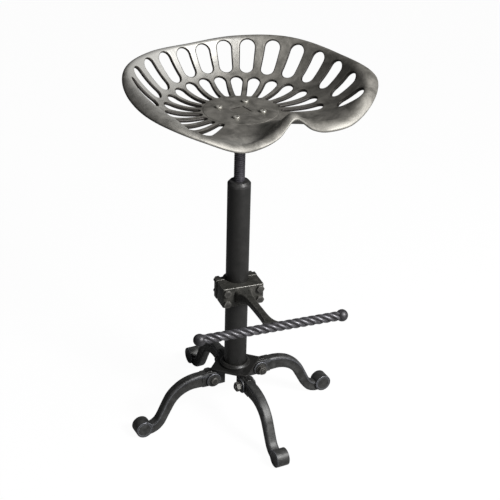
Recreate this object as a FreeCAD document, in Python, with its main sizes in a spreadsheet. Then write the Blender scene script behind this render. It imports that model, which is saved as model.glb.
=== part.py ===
# Tractor seat stool: a pierced cast seat on a trapezoidal screw, a round column with a clamped footrest,
# and four cast legs with scroll feet. Millimetres, +Z up, origin on the floor at the column's axis.
# The legs lie along X and Y, and the seat and the footrest face -Y.
import FreeCAD, Part
import math
import os
import re
import Sketcher

V = FreeCAD.Vector
UP = V(0, 0, 1)

# Driving dimensions
SIZES = {
    # column
    "tube_diameter": 42.4,
    "tube_wall": 3.2,
    "tube_top": 485.0,
    "collar_height": 9.0,
    "collar_chamfer": 4.5,
    "collar_top_diameter": 34.6,
    "nut_depth": 40.0,
    # height screw and its nut's thread
    "screw_diameter": 20.0,
    "screw_pitch": 4.0,
    "thread_depth": 2.0,
    "thread_crest": 1.3,
    "thread_flank": 0.55,
    "thread_clearance": 0.3,
    "screw_bottom": 380.0,
    "tail_diameter": 12.0,
    "square_side": 24.8,
    "square_recess": 1.0,
    "square_clearance": 0.2,
    # guide ring at the screw's lower end
    "guide_height": 12.0,
    "guide_end_play": 0.3,
    "guide_bore_clearance": 0.08,
    "guide_tube_clearance": 0.3,
    "tail_washer_diameter": 24.0,
    "tail_washer_thickness": 2.0,
    "tail_screw_diameter": 6.0,
    "tail_screw_length": 14.0,
    "tail_screw_head": 4.0,
    "tail_screw_flats": 10.0,
    # seat
    "seat_top": 628.0,
    "seat_angle": 7.8,
    "disc_radius": 66.0,
    "disc_thickness": 8.0,
    "disc_step": 0.6,
    "disc_overlap": 8.0,
    "pan_thickness": 6.0,
    "inner_slot_gap": 4.8,
    "inner_slot_near_radius": 4.6,
    "inner_slot_far_radius": 10.5,
    "outer_slot_near_radius": 11.7,
    "outer_slot_far_radius": 13.3,
    "slot_angle": 15.0,
    "flange_diameter": 104.0,
    "flange_thickness": 6.0,
    "seat_bolt_circle": 77.6,
    "seat_bolt_diameter": 6.0,
    "seat_bolt_head_diameter": 11.5,
    "seat_bolt_head_height": 3.5,
    "seat_washer_diameter": 12.5,
    "seat_washer_thickness": 1.6,
    "seat_nut_flats": 10.0,
    "seat_nut_height": 5.0,
    "bolt_clearance": 0.3,
    "bolt_end": 2.0,
    # footrest clamp, arm and bar
    "footrest_angle": -5.9,
    "clamp_middle": 276.5,
    "clamp_height": 39.0,
    "clamp_half_width": 39.5,
    "clamp_front": 36.0,
    "clamp_corner": 2.0,
    "clamp_split": 2.0,
    "clamp_running": 0.08,
    "ear_half_width": 40.0,
    "ear_thickness": 12.0,
    "yoke_wall": 6.0,
    "clamp_bolt_spread": 32.0,
    "clamp_bolt_rise": 11.0,
    "clamp_bolt_diameter": 8.0,
    "clamp_head_flats": 13.0,
    "clamp_head_height": 5.3,
    "clamp_washer_diameter": 14.5,
    "clamp_washer_thickness": 1.6,
    "clamp_nut_height": 6.5,
    "arm_root_width": 36.0,
    "arm_root_height": 30.0,
    "arm_neck_width": 15.0,
    "arm_neck_height": 14.0,
    "arm_neck_reach": 78.0,
    "arm_flare_length": 26.0,
    "arm_end_width": 38.0,
    "arm_end_height": 15.0,
    "bar_reach": 178.0,
    "bar_height": 291.0,
    "bar_length": 266.0,
    "bar_side": 12.5,
    "bar_twist_pitch": 58.0,
    "ball_diameter": 22.0,
    "ball_spigot_diameter": 8.0,
    "ball_spigot_length": 8.0,
    # hub
    "hub_side": 75.0,
    "hub_top": 110.0,
    "hub_thickness": 5.0,
    "hub_collar_diameter": 58.0,
    "hub_collar_height": 8.0,
    "hub_collar_chamfer": 4.0,
    "tongue_thickness": 8.0,
    "tongue_inner": 23.0,
    "tongue_outer": 62.0,
    "tongue_bottom": 80.0,
    "tongue_clearance": 0.1,
    "tongue_end_gap": 1.5,
    "fork_overrun": 5.0,
    # legs
    "leg_width": 17.5,
    "leg_root": 25.0,
    "root_bottom": 76.0,
    "knee_start": 80.0,
    "shin_top_reach": 146.0,
    "shin_top_height": 68.0,
    "shin_foot_reach": 160.0,
    "shin_foot_height": 38.0,
    "notch_reach": 175.0,
    "notch_height": 22.5,
    "sole_start": 180.0,
    "heel_reach": 149.5,
    "heel_height": 18.0,
    "calf_reach": 128.0,
    "calf_height": 57.0,
    "arch_reach": 95.0,
    "arch_height": 77.5,
    "scroll_reach": 192.5,
    "scroll_diameter": 33.0,
    "scroll_width": 25.0,
    "leg_bolt_reach": 50.0,
    "leg_bolt_height": 90.0,
    "leg_bolt_diameter": 10.0,
    "leg_bolt_head_diameter": 15.0,
    "leg_bolt_head_height": 5.0,
    "boss_diameter": 28.0,
    "boss_width": 26.0,
    "leg_washer_diameter": 20.0,
    "leg_washer_thickness": 2.0,
    "leg_nut_flats": 16.0,
    "leg_nut_height": 8.0,
}

LEGS = {"leg_right": 0, "leg_back": 90, "leg_left": 180, "leg_front": 270}
SIDES = (-1, 1)

# The seat by the angle from its back, the same on both sides: radius and height of the rim's middle, and radius,
# height and steepness of the wall inside the rolled lip. Heights are above the seat's middle.
STATIONS = (0, 30, 60, 90, 115, 130, 145, 157, 168, 180)
RIM_RADIUS = (173, 182, 198, 215, 235, 225, 201, 174, 165, 157)
RIM_HEIGHT = (66, 70, 71, 59, 51, 33, 9, 4, 15, 38)
WALL_RADIUS = (163, 172, 186, 190, 201, 206, 165, 145, 137, 108)
WALL_HEIGHT = (67, 69, 68, 63, 52, 36, 5, 1, 16, 25)
WALL_POWER = (2.5, 2.6, 2.8, 3.4, 3.1, 2.7, 2.4, 2.0, 1.5, 1.05)

# The casting isn't quite even: the wall stands lower by this on the seat's left, and higher by it on its right
WALL_LEAN = (0, 0, 0, 1, 4, 7, 3, 2, 8, 0)

# How steeply the lip's edge falls, in degrees, and how boldly the lip rolls over
LIP_FALL = (28, 30, 32, 33, 36, 44, 50, 40, 27, 18)
LIP_ROLL = 1.3

# Ends of the seat's slots by the angle from its back, as sums of cosines
INNER_SLOT_END = (136.0, -10.5, -1.5)
OUTER_SLOT_START = (152.5, -22.0, 0.0)
INNER_SLOTS = 17
OUTER_SLOTS = 18
ROUND_STEPS = 72
WALL_STEPS = 12
LIP_STEPS = 7
BAR_STEPS = 16

doc = FreeCAD.newDocument("TractorSeatStool")
sheet = doc.addObject("Spreadsheet::Sheet", "Sizes")
for row, (alias, value) in enumerate(SIZES.items(), 1):
    sheet.set(f"A{row}", alias)
    sheet.set(f"B{row}", str(value))
    sheet.setAlias(f"B{row}", alias)
doc.recompute()

parts = []


# Helpers

def size(expression):
    """The value of an expression of named sizes."""
    return float(sheet.evalExpression(expression))


def bound(expression):
    """The same expression as another object writes it."""
    return re.sub(r"\b[a-z]+(?:_[a-z]+)+\b", lambda word: "Sizes." + word.group(), expression)


def bind(thing, **expressions):
    """Ties properties to expressions; a double underscore stands for a dot."""
    for name, expression in expressions.items():
        thing.setExpression(name.replace("__", "."), bound(expression))


def keep(thing, label, angle=None):
    """Registers a sub-part, turned about the column's axis if it has an angle."""
    thing.Label = label
    if angle is not None:
        thing.setExpression("Placement.Rotation.Angle", bound(angle) + " * 1deg")
    parts.append(thing)
    return thing


def new_body(label, angle=None):
    return keep(doc.addObject("PartDesign::Body", label), label, angle)


def attach(body, name, role, offset=None):
    """A sketch on one of the body's own origin planes, moved along the plane's normal."""
    sketch = body.newObject("Sketcher::SketchObject", name)
    plane = next(item for item in body.Origin.OriginFeatures if item.Role == role)
    sketch.AttachmentSupport = [(plane, "")]
    sketch.MapMode = "FlatFace"
    if offset is not None:
        sketch.setExpression("AttachmentOffset.Base.z", bound(offset))
    return sketch


def pin_point(sketch, geometry, end, x, y):
    """Holds one end of a line or arc, or a circle's centre, at x and y."""
    for kind, axis, expression in (("DistanceX", -2, x), ("DistanceY", -1, y)):
        value = size(expression)
        if value == 0:
            sketch.addConstraint(Sketcher.Constraint("PointOnObject", geometry, end, axis))
        else:
            number = sketch.addConstraint(Sketcher.Constraint(kind, -1, 1, geometry, end, value))
            sketch.setExpression(f"Constraints[{number}]", bound(expression))


def tangent_arc(start, direction, end):
    """The arc from start to end that leaves start along the direction."""
    chord = end - start
    normal = V(-direction.y, direction.x, 0)
    radius = chord.dot(chord) / (2 * chord.dot(normal))
    centre = start + normal * radius
    middle = (start + end) * 0.5 - centre
    if chord.dot(direction) < 0:
        middle = middle * -1
    middle = centre + middle.normalize() * abs(radius)
    return Part.Arc(start, middle, end), centre, radius


def outline(sketch, corners):
    """A closed outline. A corner is (x, y), or (x, y, "arc") where an arc leaves it along the edge before."""
    points = [V(size(corner[0]), size(corner[1]), 0) for corner in corners]
    count = len(points)
    first = sketch.GeometryCount
    direction = points[0] - points[-1]
    clockwise = set()
    for index, corner in enumerate(corners):
        start, end = points[index], points[(index + 1) % count]
        if len(corner) == 3:
            shape, centre, radius = tangent_arc(start, direction.normalize(), end)
            arm = end - centre
            direction = V(-arm.y, arm.x, 0) * (1 if radius > 0 else -1)
            if radius < 0:
                clockwise.add(index)
        else:
            shape = Part.LineSegment(start, end)
            direction = end - start
        sketch.addGeometry(shape)
    for index, corner in enumerate(corners):
        before = (index - 1) % count
        here = 2 if index in clockwise else 1
        there = 1 if before in clockwise else 2
        kind = "Tangent" if len(corner) == 3 else "Coincident"
        sketch.addConstraint(Sketcher.Constraint(kind, first + before, there, first + index, here))
        pin_point(sketch, first + index, here, corner[0], corner[1])


def rectangle(sketch, left, low, right, high):
    outline(sketch, [(left, low), (right, low), (right, high), (left, high)])


def hexagon(sketch, x, y, flats):
    """A hexagon about x and y, with two corners level with its middle."""
    edge = f"{flats} / sqrt(3)"
    half = f"{flats} / 2"
    corners = [(f"{x} + {edge}", y), (f"{x} + {edge} / 2", f"{y} + {half}")]
    corners += [(f"{x} - {edge} / 2", f"{y} + {half}"), (f"{x} - {edge}", y)]
    corners += [(f"{x} - {edge} / 2", f"{y} - {half}"), (f"{x} + {edge} / 2", f"{y} - {half}")]
    outline(sketch, corners)


def circle(sketch, x, y, diameter):
    """A circle with its centre and diameter held."""
    number = sketch.addGeometry(
        Part.Circle(V(size(x), size(y), 0), V(0, 0, 1), size(diameter) / 2)
    )
    pin_point(sketch, number, 3, x, y)
    constraint = sketch.addConstraint(Sketcher.Constraint("Diameter", number, size(diameter)))
    sketch.setExpression(f"Constraints[{constraint}]", bound(diameter))


def pad(body, sketch, length, midplane=False, backwards=False):
    feature = body.newObject("PartDesign::Pad", "pad")
    feature.Profile = sketch
    feature.Midplane = midplane
    feature.Reversed = backwards
    bind(feature, Length=length)
    doc.recompute()
    return feature


def pocket(body, sketch, length, midplane=False, backwards=False):
    """A pocket; it stops the script if it misses the solid."""
    before = body.Shape.Volume
    feature = body.newObject("PartDesign::Pocket", "pocket")
    feature.Profile = sketch
    feature.Midplane = midplane
    feature.Reversed = backwards
    bind(feature, Length=length)
    doc.recompute()
    if not body.Shape.Volume < before:
        raise RuntimeError(body.Label + ": a pocket cuts nothing")
    return feature


def revolve(body, sketch):
    """A full turn of a sketch in the XZ plane about the body's Z axis."""
    axis = next(item for item in body.Origin.OriginFeatures if item.Role == "Z_Axis")
    feature = body.newObject("PartDesign::Revolution", "turn")
    feature.Profile = sketch
    feature.ReferenceAxis = (axis, [""])
    feature.Angle = 360
    doc.recompute()
    return feature


def turned(label, corners, angle=None):
    """A sub-part turned about the column's axis from a half section in radius and height."""
    body = new_body(label, angle)
    sketch = attach(body, "section", "XZ_Plane")
    outline(sketch, corners)
    revolve(body, sketch)
    return body


def plain_ring(label, inner, outer, low, high, angle=None):
    corners = [(inner, low), (outer, low), (outer, high), (inner, high)]
    return turned(label, corners, angle)


def stack(label, spots, layers, plane, angle=None):
    """Like pieces at several spots of a plane. A layer is a round or hexagonal size, a bore or None, the offset
    of its plane and its length along the plane's normal."""
    body = new_body(label, angle)
    for shape, outer, bore, offset, length in layers:
        sketch = attach(body, "layer", plane, offset)
        for x, y in spots:
            if shape == "round":
                circle(sketch, x, y, outer)
            else:
                hexagon(sketch, x, y, outer)
            if bore is not None:
                circle(sketch, x, y, bore)
        pad(body, sketch, length)
    return body


def feature(label, shape, angle=None):
    """A sub-part from a shape made by this script."""
    item = doc.addObject("Part::Feature", label)
    item.Shape = shape
    return keep(item, label, angle)


def rod(radius, low, high):
    """A plain round bar along Z."""
    return Part.makeCylinder(radius, high - low, V(0, 0, low))


# Column and height screw

def column_tube():
    body = new_body("column_tube")
    section = attach(body, "section", "XY_Plane", "hub_top - hub_thickness")
    circle(section, "0", "0", "tube_diameter")
    circle(section, "0", "0", "tube_diameter - 2 * tube_wall")
    pad(body, section, "tube_top - hub_top + hub_thickness")


def threaded_rod(radius, depth, crest, flank, pitch, turns):
    """A single-start right-hand trapezoidal thread from height nought, as one solid."""
    root = radius - depth
    levels = ((radius, 0.0), (radius, crest), (root, crest + flank), (root, pitch - flank), (radius, pitch))

    def helix(distance, height):
        edge = Part.makeHelix(pitch, pitch, distance).Edges[0]
        edge.translate(V(0, 0, height))
        return edge

    faces = []
    for turn in range(turns):
        base = turn * pitch
        for (near, low), (far, high) in zip(levels, levels[1:]):
            faces.append(Part.makeRuledSurface(helix(near, base + low), helix(far, base + high)))
    for base in (0, turns * pitch):
        low, high = V(0, 0, base), V(0, 0, base + pitch)
        faces.append(Part.makeRuledSurface(Part.makeLine(low, high), helix(radius, base)))
        step = [V(distance, 0, base + height) for distance, height in levels]
        faces.append(Part.Face(Part.makePolygon([low] + step + [high, low])))
    shell = Part.makeCompound(faces)
    shell.sewShape()
    solid = Part.makeSolid(shell.Shells[0])
    if solid.Volume < 0:
        solid.reverse()
    return solid


def screw_thread(low, high, gap):
    """The screw's thread between two heights, widened all over by a gap where it cuts the nut."""
    pitch = size("screw_pitch")
    lead_in = math.floor((low - size("screw_bottom")) / pitch) - 1
    turns = math.ceil((high - low) / pitch) + 3
    radius = size("screw_diameter / 2") + gap
    crest = size("thread_crest") + 2 * gap
    thread = threaded_rod(radius, size("thread_depth"), crest, size("thread_flank"), pitch, turns)
    thread.translate(V(0, 0, size("screw_bottom") + lead_in * pitch - gap))
    return thread.common(rod(2 * radius, low, high))


def column_nut():
    """The nut that closes the tube: a chamfered collar on a spigot, threaded right through."""
    top = size("tube_top")
    low = top - size("nut_depth")
    crown = top + size("collar_height")
    shoulder = crown - size("collar_chamfer")
    rim = size("tube_diameter / 2")
    spigot = rod(rim - size("tube_wall"), low, top)
    cone = Part.makeCone(rim, size("collar_top_diameter / 2"), crown - shoulder, V(0, 0, shoulder))
    blank = spigot.fuse([rod(rim, top, shoulder), cone]).removeSplitter()
    overrun = size("screw_pitch") / 4
    feature("column_nut", blank.cut(screw_thread(low - overrun, crown + overrun, size("thread_clearance"))))


def height_screw():
    """Tail for the guide ring, thread, plain neck in the flange and square head in the seat."""
    bottom = size("screw_bottom")
    tail = bottom - size("guide_height + 2 * guide_end_play")
    disc_bottom = size("seat_top - disc_thickness")
    neck = disc_bottom - size("flange_thickness + screw_pitch")
    side = size("square_side")
    height = size("disc_thickness - square_recess")
    square = Part.makeBox(side, side, height, V(-side / 2, -side / 2, disc_bottom))
    pieces = [rod(size("screw_diameter / 2"), neck, disc_bottom), square]
    pieces.append(rod(size("tail_diameter / 2"), tail, bottom))
    shape = screw_thread(bottom, neck, 0.0).fuse(pieces)
    drill = rod(size("tail_screw_diameter / 2"), tail, tail + size("tail_screw_length"))
    feature("height_screw", shape.cut(drill), "seat_angle")


def screw_tail():
    """Guide ring, washer and screw at the lower end of the height screw."""
    ring_top = "screw_bottom - guide_end_play"
    bore = "tail_diameter / 2 + guide_bore_clearance"
    outside = "tube_diameter / 2 - tube_wall - guide_tube_clearance"
    plain_ring("guide_ring", bore, outside, f"{ring_top} - guide_height", ring_top)
    tail = "screw_bottom - guide_height - 2 * guide_end_play"
    low = f"{tail} - tail_washer_thickness"
    shank = "tail_screw_diameter / 2"
    plain_ring("stop_washer", shank, "tail_washer_diameter / 2", low, tail, "seat_angle")
    head = ("hexagon", "tail_screw_flats", None, f"{low} - tail_screw_head", "tail_screw_head")
    stem = ("round", "tail_screw_diameter", None, low, "tail_screw_length + tail_washer_thickness")
    stack("stop_screw", [("0", "0")], [head, stem], "XY_Plane", "seat_angle")


# Hub and legs

def hub_plate():
    """A square plate with a collar for the tube on top and four tongues for the legs underneath."""
    body = new_body("hub_plate")
    plate = attach(body, "plate", "XY_Plane", "hub_top - hub_thickness")
    reach = "hub_side / sqrt(2)"
    outline(plate, [(reach, "0"), ("0", reach), (f"-{reach}", "0"), ("0", f"-{reach}")])
    circle(plate, "0", "0", "tube_diameter")
    pad(body, plate, "hub_thickness")
    collar = attach(body, "collar", "XZ_Plane")
    edge = "hub_collar_diameter / 2"
    crown = "hub_top + hub_collar_height"
    outline(collar, [
        ("tube_diameter / 2", "hub_top"),
        (edge, "hub_top"),
        (edge, f"{crown} - hub_collar_chamfer"),
        (f"{edge} - hub_collar_chamfer", crown),
        ("tube_diameter / 2", crown),
    ])
    revolve(body, collar)
    tongue = attach(body, "tongue", "XZ_Plane")
    rectangle(tongue, "tongue_inner", "tongue_bottom", "tongue_outer", "hub_top - hub_thickness")
    circle(tongue, "leg_bolt_reach", "leg_bolt_height", "leg_bolt_diameter + bolt_clearance")
    tongues = pad(body, tongue, "tongue_thickness", midplane=True)
    axis = next(item for item in body.Origin.OriginFeatures if item.Role == "Z_Axis")
    pattern = body.newObject("PartDesign::PolarPattern", "tongues")
    pattern.Originals = [tongues]
    pattern.Axis = (axis, [""])
    pattern.Angle = 360
    pattern.Occurrences = len(LEGS)
    body.Tip = pattern
    doc.recompute()


def leg(label, angle):
    """A cast leg with a scroll foot, forked over the hub's tongue."""
    body = new_body(label)
    body.Placement = FreeCAD.Placement(V(), FreeCAD.Rotation(UP, angle))
    side = attach(body, "side", "XZ_Plane")
    outline(side, [
        ("leg_root", "hub_top - hub_thickness"),
        ("knee_start", "hub_top - hub_thickness", "arc"),
        ("shin_top_reach", "shin_top_height"),
        ("shin_foot_reach", "shin_foot_height", "arc"),
        ("notch_reach", "notch_height"),
        ("scroll_reach", "scroll_diameter / 2"),
        ("scroll_reach", "0"),
        ("sole_start", "0", "arc"),
        ("heel_reach", "heel_height"),
        ("calf_reach", "calf_height", "arc"),
        ("arch_reach", "arch_height"),
        ("leg_root", "root_bottom"),
    ])
    pad(body, side, "leg_width", midplane=True)
    scroll = attach(body, "scroll", "XZ_Plane")
    circle(scroll, "scroll_reach", "scroll_diameter / 2", "scroll_diameter")
    pad(body, scroll, "scroll_width", midplane=True)
    boss = attach(body, "boss", "XZ_Plane")
    circle(boss, "leg_bolt_reach", "leg_bolt_height", "boss_diameter")
    pad(body, boss, "boss_width", midplane=True)
    fork = attach(body, "fork", "XZ_Plane")
    left, right = "leg_root - tongue_end_gap", "tongue_outer + tongue_end_gap"
    rectangle(fork, left, "root_bottom - fork_overrun", right, "hub_top - hub_thickness")
    pocket(body, fork, "tongue_thickness + 2 * tongue_clearance", midplane=True)
    hole = attach(body, "hole", "XZ_Plane")
    circle(hole, "leg_bolt_reach", "leg_bolt_height", "leg_bolt_diameter + bolt_clearance")
    pocket(body, hole, "2 * boss_width", midplane=True)


def around_legs(label, shape):
    """One group of a crosswise piece of the right leg's bolt, repeated on every leg. The piece is made along Z."""
    spot = V(size("leg_bolt_reach"), 0, size("leg_bolt_height"))
    across = FreeCAD.Placement(spot, FreeCAD.Rotation(V(1, 0, 0), -90))
    solids = []
    for angle in LEGS.values():
        solid = shape.copy()
        turn = FreeCAD.Placement(V(), FreeCAD.Rotation(UP, angle))
        solid.Placement = turn.multiply(across).multiply(shape.Placement)
        solids.append(solid)
    feature(label, Part.makeCompound(solids))


def hexagon_prism(flats, low, high):
    corners = []
    for corner in range(7):
        turn = math.radians(60 * corner)
        corners.append(V(math.cos(turn), math.sin(turn), 0) * (flats / math.sqrt(3)) + V(0, 0, low))
    return Part.Face(Part.makePolygon(corners)).extrude(V(0, 0, high - low))


def leg_fasteners():
    """A round-headed bolt, washer and nut through each leg's fork; the head is on the far side going round."""
    face = size("boss_width / 2")
    radius = size("leg_bolt_diameter / 2")
    washer_end = -face - size("leg_washer_thickness")
    nut_end = washer_end - size("leg_nut_height")
    head_radius = size("leg_bolt_head_diameter / 2")
    head = rod(head_radius, face, face + size("leg_bolt_head_height"))
    around_legs("leg_bolts", head.fuse(rod(radius, nut_end - size("bolt_end"), face)))
    washer = rod(size("leg_washer_diameter / 2"), washer_end, -face)
    around_legs("leg_washers", washer.cut(rod(radius, washer_end, -face)))
    nut = hexagon_prism(size("leg_nut_flats"), nut_end, washer_end)
    around_legs("leg_nuts", nut.cut(rod(radius, nut_end, washer_end)))


# Footrest

def clamp_holes(body):
    """The bore for the tube and the four bolt holes of a clamp half."""
    bore = attach(body, "bore", "XY_Plane", "clamp_middle")
    circle(bore, "0", "0", "tube_diameter + 2 * clamp_running")
    pocket(body, bore, "2 * clamp_height", midplane=True)
    holes = attach(body, "holes", "XZ_Plane")
    for x, y in clamp_spots():
        circle(holes, x, y, "clamp_bolt_diameter + bolt_clearance")
    pocket(body, holes, "3 * clamp_front", midplane=True)


def clamp_spots():
    spots = []
    for side in SIDES:
        for rise in SIDES:
            spots.append((f"{side} * clamp_bolt_spread", f"clamp_middle + {rise} * clamp_bolt_rise"))
    return spots


def clamp_front():
    """The front half of the clamp with the footrest's arm."""
    body = new_body("clamp_front", "footrest_angle")
    low = "clamp_middle - clamp_height / 2"
    block = attach(body, "block", "XY_Plane", low)
    wide, front = "clamp_half_width", "clamp_front"
    outline(block, [
        (f"-{wide}", "-clamp_split / 2"),
        (f"-{wide}", f"-({front} - clamp_corner)"),
        (f"-({wide} - clamp_corner)", f"-{front}"),
        (f"{wide} - clamp_corner", f"-{front}"),
        (wide, f"-({front} - clamp_corner)"),
        (wide, "-clamp_split / 2"),
    ])
    pad(body, block, "clamp_height")
    arm_low = "clamp_middle - arm_root_height / 2"
    arm_high = "bar_height + arm_end_height / 2"
    arm = attach(body, "arm", "XY_Plane", arm_low)
    flare = "-(bar_reach - arm_flare_length)"
    outline(arm, [
        ("-arm_root_width / 2", f"-{front}"),
        ("-arm_neck_width / 2", "-arm_neck_reach"),
        ("-arm_neck_width / 2", flare),
        ("-arm_end_width / 2", "-bar_reach"),
        ("arm_end_width / 2", "-bar_reach"),
        ("arm_neck_width / 2", flare),
        ("arm_neck_width / 2", "-arm_neck_reach"),
        ("arm_root_width / 2", f"-{front}"),
    ])
    pad(body, arm, f"{arm_high} - ({arm_low})")
    above = attach(body, "above", "YZ_Plane")
    outline(above, [
        (f"-{front}", "clamp_middle + arm_root_height / 2"),
        (f"-{front}", f"{arm_high} + arm_end_height"),
        ("-(bar_reach + bar_side)", f"{arm_high} + arm_end_height"),
        ("-(bar_reach + bar_side)", arm_high),
        ("-bar_reach", arm_high),
    ])
    pocket(body, above, "2 * arm_end_width", midplane=True)
    below = attach(body, "below", "YZ_Plane")
    root_high = "clamp_middle + arm_root_height / 2"
    neck_share = "(arm_neck_reach - clamp_front) / (bar_reach - clamp_front)"
    neck_low = f"{root_high} + ({arm_high} - ({root_high})) * {neck_share} - arm_neck_height"
    outline(below, [
        (f"-{front}", arm_low),
        ("-arm_neck_reach", neck_low),
        ("-bar_reach", "bar_height - arm_end_height / 2"),
        ("-(bar_reach + bar_side)", "bar_height - arm_end_height / 2"),
        ("-(bar_reach + bar_side)", f"{arm_low} - arm_end_height"),
        (f"-{front}", f"{arm_low} - arm_end_height"),
    ])
    pocket(body, below, "2 * arm_end_width", midplane=True)
    saddle = attach(body, "saddle", "YZ_Plane")
    circle(saddle, "-bar_reach", "bar_height", "bar_side * sqrt(2)")
    pocket(body, saddle, "2 * arm_end_width", midplane=True)
    clamp_holes(body)


def clamp_rear():
    """The rear half of the clamp: a saddle round the tube with an ear on each side."""
    body = new_body("clamp_rear", "footrest_angle")
    low = "clamp_middle - clamp_height / 2"
    ears = attach(body, "ears", "XY_Plane", low)
    rectangle(ears, "-ear_half_width", "clamp_split / 2", "ear_half_width", "clamp_split / 2 + ear_thickness")
    pad(body, ears, "clamp_height")
    yoke = attach(body, "yoke", "XY_Plane", low)
    circle(yoke, "0", "0", "tube_diameter + 2 * clamp_running + 2 * yoke_wall")
    pad(body, yoke, "clamp_height")
    front = attach(body, "front", "XY_Plane", "clamp_middle")
    rectangle(front, "-ear_half_width", "-2 * clamp_front", "ear_half_width", "clamp_split / 2")
    pocket(body, front, "2 * clamp_height", midplane=True)
    clamp_holes(body)


def clamp_fasteners():
    spots = clamp_spots()
    head = ("hexagon", "clamp_head_flats", None, "clamp_front", "clamp_head_height")
    rear = "-(clamp_split / 2 + ear_thickness"
    washer = f"{rear} + clamp_washer_thickness)"
    nut = f"{rear} + clamp_washer_thickness + clamp_nut_height)"
    end = f"{rear} + clamp_washer_thickness + clamp_nut_height + bolt_end)"
    shank = ("round", "clamp_bolt_diameter", None, end, f"clamp_front - {end}")
    stack("clamp_bolts", spots, [shank, head], "XZ_Plane", "footrest_angle")
    ring = ("round", "clamp_washer_diameter", "clamp_bolt_diameter", washer, "clamp_washer_thickness")
    stack("clamp_washers", spots, [ring], "XZ_Plane", "footrest_angle")
    hexed = ("hexagon", "clamp_head_flats", "clamp_bolt_diameter", nut, "clamp_nut_height")
    stack("clamp_nuts", spots, [hexed], "XZ_Plane", "footrest_angle")


def twisted_square(side, pitch, low, high, middle):
    """A square bar along X through the middle, with a right-hand twist, lofted through turned squares."""
    corner = side / math.sqrt(2)
    count = math.ceil(BAR_STEPS * (high - low) / pitch)
    squares = []
    for step in range(count + 1):
        along = low + (high - low) * step / count
        turn = math.radians(45) + 2 * math.pi * along / pitch
        points = []
        for quarter in range(4):
            angle = turn + math.pi / 2 * quarter
            points.append(middle + V(along, corner * math.cos(angle), corner * math.sin(angle)))
        squares.append(Part.makePolygon(points + points[:1]))
    return Part.makeLoft(squares, True, False)


def footrest_bar():
    """The twisted bar with a spigot at each end for its balls, and the balls."""
    middle = V(0, -size("bar_reach"), size("bar_height"))
    ball = size("ball_diameter / 2")
    side = size("bar_side")
    seat = math.sqrt(ball**2 - side**2 / 2)
    half = size("bar_length / 2")
    end = half - seat
    spigot = size("ball_spigot_diameter / 2")
    reach = end + size("ball_spigot_length")

    def along(radius, low, high):
        return Part.makeCylinder(radius, high - low, middle + V(low, 0, 0), V(1, 0, 0))

    bar = twisted_square(side, size("bar_twist_pitch"), -end, end, middle)
    feature("footrest_bar", bar.fuse(along(spigot, -reach, reach)), "footrest_angle")
    for way, label in zip(SIDES, ("bar_ball_left", "bar_ball_right")):
        knob = Part.makeSphere(ball, middle + V(way * half, 0, 0), V(1, 0, 0))
        knob = knob.cut([along(2 * ball, -end, end), along(spigot, -reach, reach)])
        feature(label, knob, "footrest_angle")


# Seat

def at_station(values, angle):
    """A smooth value between the stations, level at the seat's back and front."""
    angle = abs((angle + 180) % 360 - 180)
    last = len(STATIONS) - 1
    index = min(sum(angle >= station for station in STATIONS[1:]), last - 1)

    def slope(number):
        if number in (0, last):
            return 0.0
        return (values[number + 1] - values[number - 1]) / (STATIONS[number + 1] - STATIONS[number - 1])

    span = STATIONS[index + 1] - STATIONS[index]
    part = (angle - STATIONS[index]) / span
    start, end = values[index], values[index + 1]
    bend = (1 - part) * slope(index) - part * slope(index + 1)
    return start + (end - start) * part**2 * (3 - 2 * part) + span * part * (1 - part) * bend


def cosines(terms, angle):
    """A sum of cosines of an angle and its multiples."""
    return sum(term * math.cos(math.radians(order * angle)) for order, term in enumerate(terms))


def wall(angle):
    """Radius and height of the wall's upper end and its steepness there."""
    lean = at_station(WALL_LEAN, angle) * math.copysign(1, math.sin(math.radians(angle)))
    return [at_station(WALL_RADIUS, angle), at_station(WALL_HEIGHT, angle) - lean, at_station(WALL_POWER, angle)]


def wall_height(angle, radius):
    """Height of the seat's upper face above its middle, from the disc to the slots' ends."""
    end_radius, end_height, power = wall(angle)
    step, disc = size("disc_step"), size("disc_radius")
    share = max(radius - disc, 0) / (end_radius - disc)
    return (end_height + step) * share**power - step


def seat_section(angle):
    """The seat's upper face at one angle as (radius, height, slope) from the disc to the rim, and the rim."""
    disc = size("disc_radius")
    end_radius, end_height, power = wall(angle)
    points = [(disc - size("disc_overlap"), -size("disc_step"), 0.0)]
    for step in range(WALL_STEPS + 1):
        radius = disc + (end_radius - disc) * step / WALL_STEPS
        rise = power * (end_height + size("disc_step")) / (end_radius - disc)
        points.append((radius, wall_height(angle, radius), rise * (step / WALL_STEPS) ** (power - 1)))
    lip_fall = math.radians(at_station(LIP_FALL, angle))
    rim = V(at_station(RIM_RADIUS, angle), 0, at_station(RIM_HEIGHT, angle))
    outward = V(math.cos(lip_fall), 0, -math.sin(lip_fall))
    upright = V(-outward.z, 0, outward.x)
    start = V(end_radius, 0, end_height)
    end = rim + upright * size("pan_thickness / 2")
    pull = LIP_ROLL * (end - start).Length
    rise = V(1, 0, points[-1][2]).normalize() * pull
    fall = outward * pull
    for step in range(1, LIP_STEPS + 1):
        part = step / LIP_STEPS
        ease = part**2 * (3 - 2 * part)
        point = start + (end - start) * ease
        point += rise * (part * (1 - part) ** 2) - fall * (part**2 * (1 - part))
        way = (end - start) * (6 * part * (1 - part))
        way += rise * ((1 - part) * (1 - 3 * part)) - fall * (part * (2 - 3 * part))
        points.append((point.x, point.z, way.z / way.x))
    return points, rim, outward


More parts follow.
